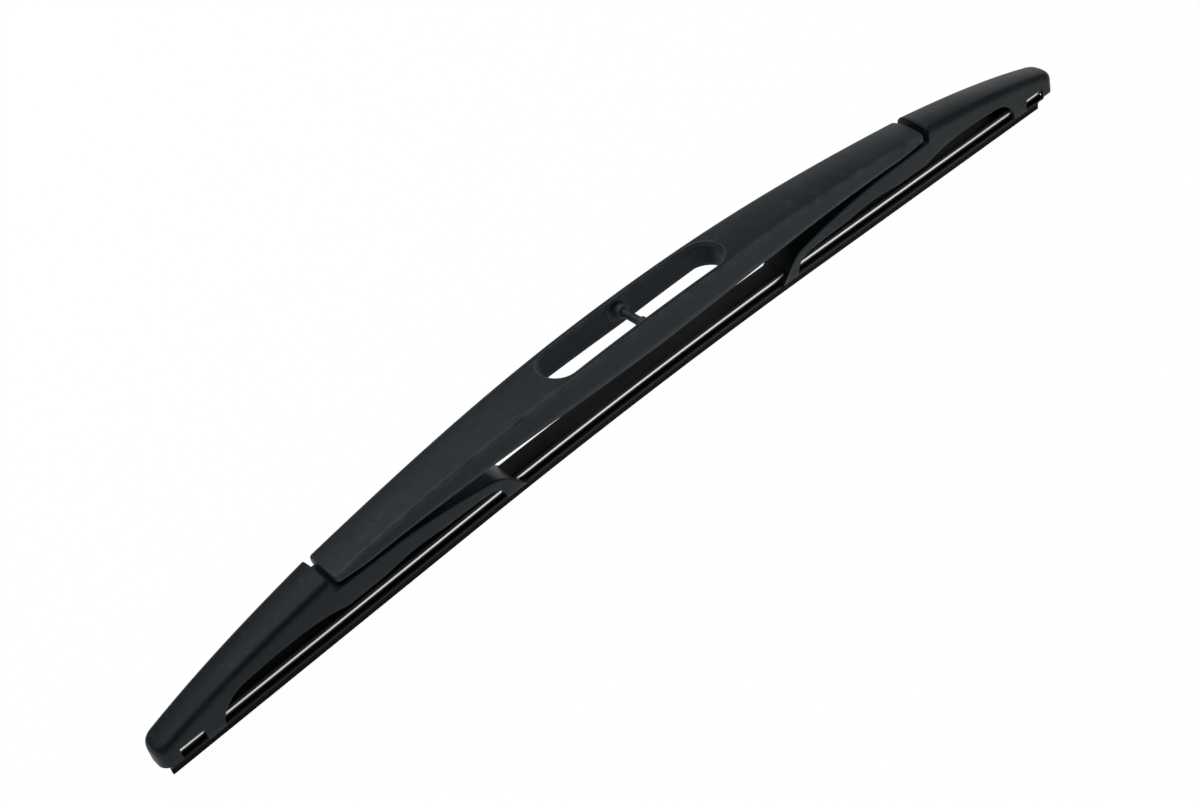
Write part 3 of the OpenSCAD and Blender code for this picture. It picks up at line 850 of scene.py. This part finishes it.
def rubber_material():
    """Dusty black rubber with ridges along it, duller at the lip."""
    made, n, shader, coords = material("blade_rubber")
    dust = n.noise(n.stretched(coords, (25.0, 400.0, 400.0)), 1.0, 5.0, 0.6)
    speck = n.noise(coords, 1800.0, 3.0)
    ridges = n.noise(n.stretched(coords, (8.0, 2500.0, 2500.0)), 1.0, 3.0)
    tone = n.mix(n.ramp(dust, 0.3, 0.7), *RUBBER_TONES)
    rough = n.ramp(speck, 0.3, 0.7, 0.50, 0.62)
    gloss = n.ramp(n.mark("above_lip"), 2.0, 4.0, 0.05, 0.16)
    link_to(n, shader, {"Base Color": tone, "Roughness": rough, "Specular IOR Level": gloss})
    link_to(n, shader, {"Normal": n.bump(ridges, 0.2, 0.02)})
    return made


def steel_material():
    """Rolled steel strip with streaks along it."""
    made, n, shader, coords = material("spline_steel")
    streak = n.noise(n.stretched(coords, (30.0, 3000.0, 3000.0)), 1.0, 4.0)
    tone = n.mix(n.ramp(streak, 0.3, 0.7), *STEEL_TONES)
    rough = n.ramp(streak, 0.3, 0.7, 0.24, 0.38)
    link_to(n, shader, {"Base Color": tone, "Roughness": rough, "Normal": n.bump(streak, 0.15, 0.01)})
    shader.inputs["Metallic"].default_value = 1.0
    return made


# Camera, light and floor, in metres

CAMERA_AT = Vector((-0.24896, -0.37882, 0.37089))
LOOK_AT = Vector((-0.02905, -0.01778, 0.0))
CAMERA_ROLL = math.radians(-15.314)
CAMERA_LENS = 61.67
WORLD_FILL = 0.14
FLOOR_Z = -0.0338
FLOOR_HALF = 3.0
FLOOR_GLOW = 1.03
FLOOR_SEEN = 0.95  # the share of the glow that the camera sees; the rest takes the shadow


def make_camera():
    data = bpy.data.cameras.new("camera")
    data.lens = CAMERA_LENS
    data.sensor_width = 36.0
    data.clip_start, data.clip_end = 0.01, 50.0
    camera = bpy.data.objects.new("camera", data)
    bpy.context.collection.objects.link(camera)
    camera.location = CAMERA_AT
    camera.rotation_mode = "QUATERNION"
    level = (LOOK_AT - CAMERA_AT).to_track_quat("-Z", "Y")
    camera.rotation_quaternion = level @ Quaternion((0, 0, 1), CAMERA_ROLL)
    bpy.context.scene.camera = camera


def soft_light(name, at, size, power):
    """A rectangular light that faces the blade's middle."""
    data = bpy.data.lights.new(name, "AREA")
    data.shape = "RECTANGLE"
    data.size, data.size_y = size
    data.energy = power
    light = bpy.data.objects.new(name, data)
    light.location = at
    light.rotation_mode = "QUATERNION"
    light.rotation_quaternion = (-Vector(at)).to_track_quat("-Z", "Y")
    bpy.context.collection.objects.link(light)


def make_world():
    """White where the camera sees it, and an even grey light otherwise."""
    world = bpy.data.worlds.new("white")
    bpy.context.scene.world = world
    world.use_nodes = True
    n = Nodes(world.node_tree)
    seen = n.add("ShaderNodeLightPath").outputs["Is Camera Ray"]
    fill = world.node_tree.nodes["Background"]
    fill.inputs["Color"].default_value = (1, 1, 1, 1)
    fill.inputs["Strength"].default_value = WORLD_FILL
    white = n.add("ShaderNodeBackground", {"Color": (1, 1, 1, 1), "Strength": 1.0})
    both = n.add("ShaderNodeMixShader", {0: seen, 1: fill.outputs[0], 2: white.outputs[0]})
    n.tree.links.new(both.outputs[0], n.tree.nodes["World Output"].inputs["Surface"])


def floor_share(n):
    """How much of the floor's glow each ray meets. Reflections find less of it towards the blade's ends."""
    rays = n.add("ShaderNodeLightPath")
    place = n.add("ShaderNodeSeparateXYZ", {0: n.add("ShaderNodeTexCoord").outputs["Object"]})
    left_end = n.ramp(place.outputs["X"], -0.17, -0.03, 0.52, 0.80)
    right_end = n.ramp(place.outputs["X"], 0.13, 0.175, 1.0, 0.62)
    seen = n.math("MULTIPLY", rays.outputs["Is Camera Ray"], FLOOR_SEEN)
    reflected = n.math("MULTIPLY", rays.outputs["Is Glossy Ray"], n.math("MULTIPLY", left_end, right_end))
    return n.math("MAXIMUM", seen, reflected)


def make_floor():
    """A white floor that keeps a faint shadow."""
    mesh = bpy.data.meshes.new("floor")
    corners = [(-1, -1), (1, -1), (1, 1), (-1, 1)]
    mesh.from_pydata([(x * FLOOR_HALF, y * FLOOR_HALF, FLOOR_Z) for x, y in corners], [], [(0, 1, 2, 3)])
    floor = bpy.data.objects.new("floor", mesh)
    bpy.context.collection.objects.link(floor)
    made = bpy.data.materials.new("floor_white")
    made.use_nodes = True
    n = Nodes(made.node_tree)
    n.tree.nodes.remove(n.tree.nodes["Principled BSDF"])
    matte = n.add("ShaderNodeBsdfDiffuse", {"Color": (0.8, 0.8, 0.8, 1)})
    glow = n.add("ShaderNodeEmission", {"Color": (1, 1, 1, 1), "Strength": FLOOR_GLOW})
    both = n.add("ShaderNodeMixShader", {0: floor_share(n), 1: matte.outputs[0], 2: glow.outputs[0]})
    n.tree.links.new(both.outputs[0], n.tree.nodes["Material Output"].inputs["Surface"])
    mesh.materials.append(made)


def dress(piece, made, node, body=None):
    """Gives a piece its material, hides the CAD part that it stands in for, and puts it under the empty of
    the body that it moves with, when it has one.
    """
    piece.data.materials.clear()
    piece.data.materials.append(made)
    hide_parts(node)
    if body:
        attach(piece, body)


bpy.context.scene.view_settings.view_transform = "Standard"
make_camera()
make_world()
make_floor()
soft_light("overhead", (-0.2, 0.5, 1.25), (1.7, 1.2), 10.5)
soft_light("right_back", (1.45, 1.15, 0.28), (1.1, 0.55), 2.3)
soft_light("right_front", (1.1, -0.85, 0.8), (0.8, 0.8), 1.4)

PLASTIC = black_plastic()
RUBBER = rubber_material()
STEEL = steel_material()

dress(main_bridge(), PLASTIC, "main_bridge", "bridge")
for side_name, side in (("left", -1), ("right", 1)):
    yoke_body = f"{side_name}_yoke"
    dress(yoke(f"{side_name}_yoke_moulding", side), PLASTIC, yoke_body, yoke_body)
    bending = [(rubber(f"rubber_{side_name}", side), RUBBER, "rubber", "rubber_element")]
    for face_name, face in (("front", -1), ("rear", 1)):
        strip = spline(f"{face_name}_spline_{side_name}", side, face)
        bending.append((strip, STEEL, "steel", f"{face_name}_spline"))
    for piece, made, slot_name, node in bending:
        dress(piece, made, node)
        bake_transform(piece)
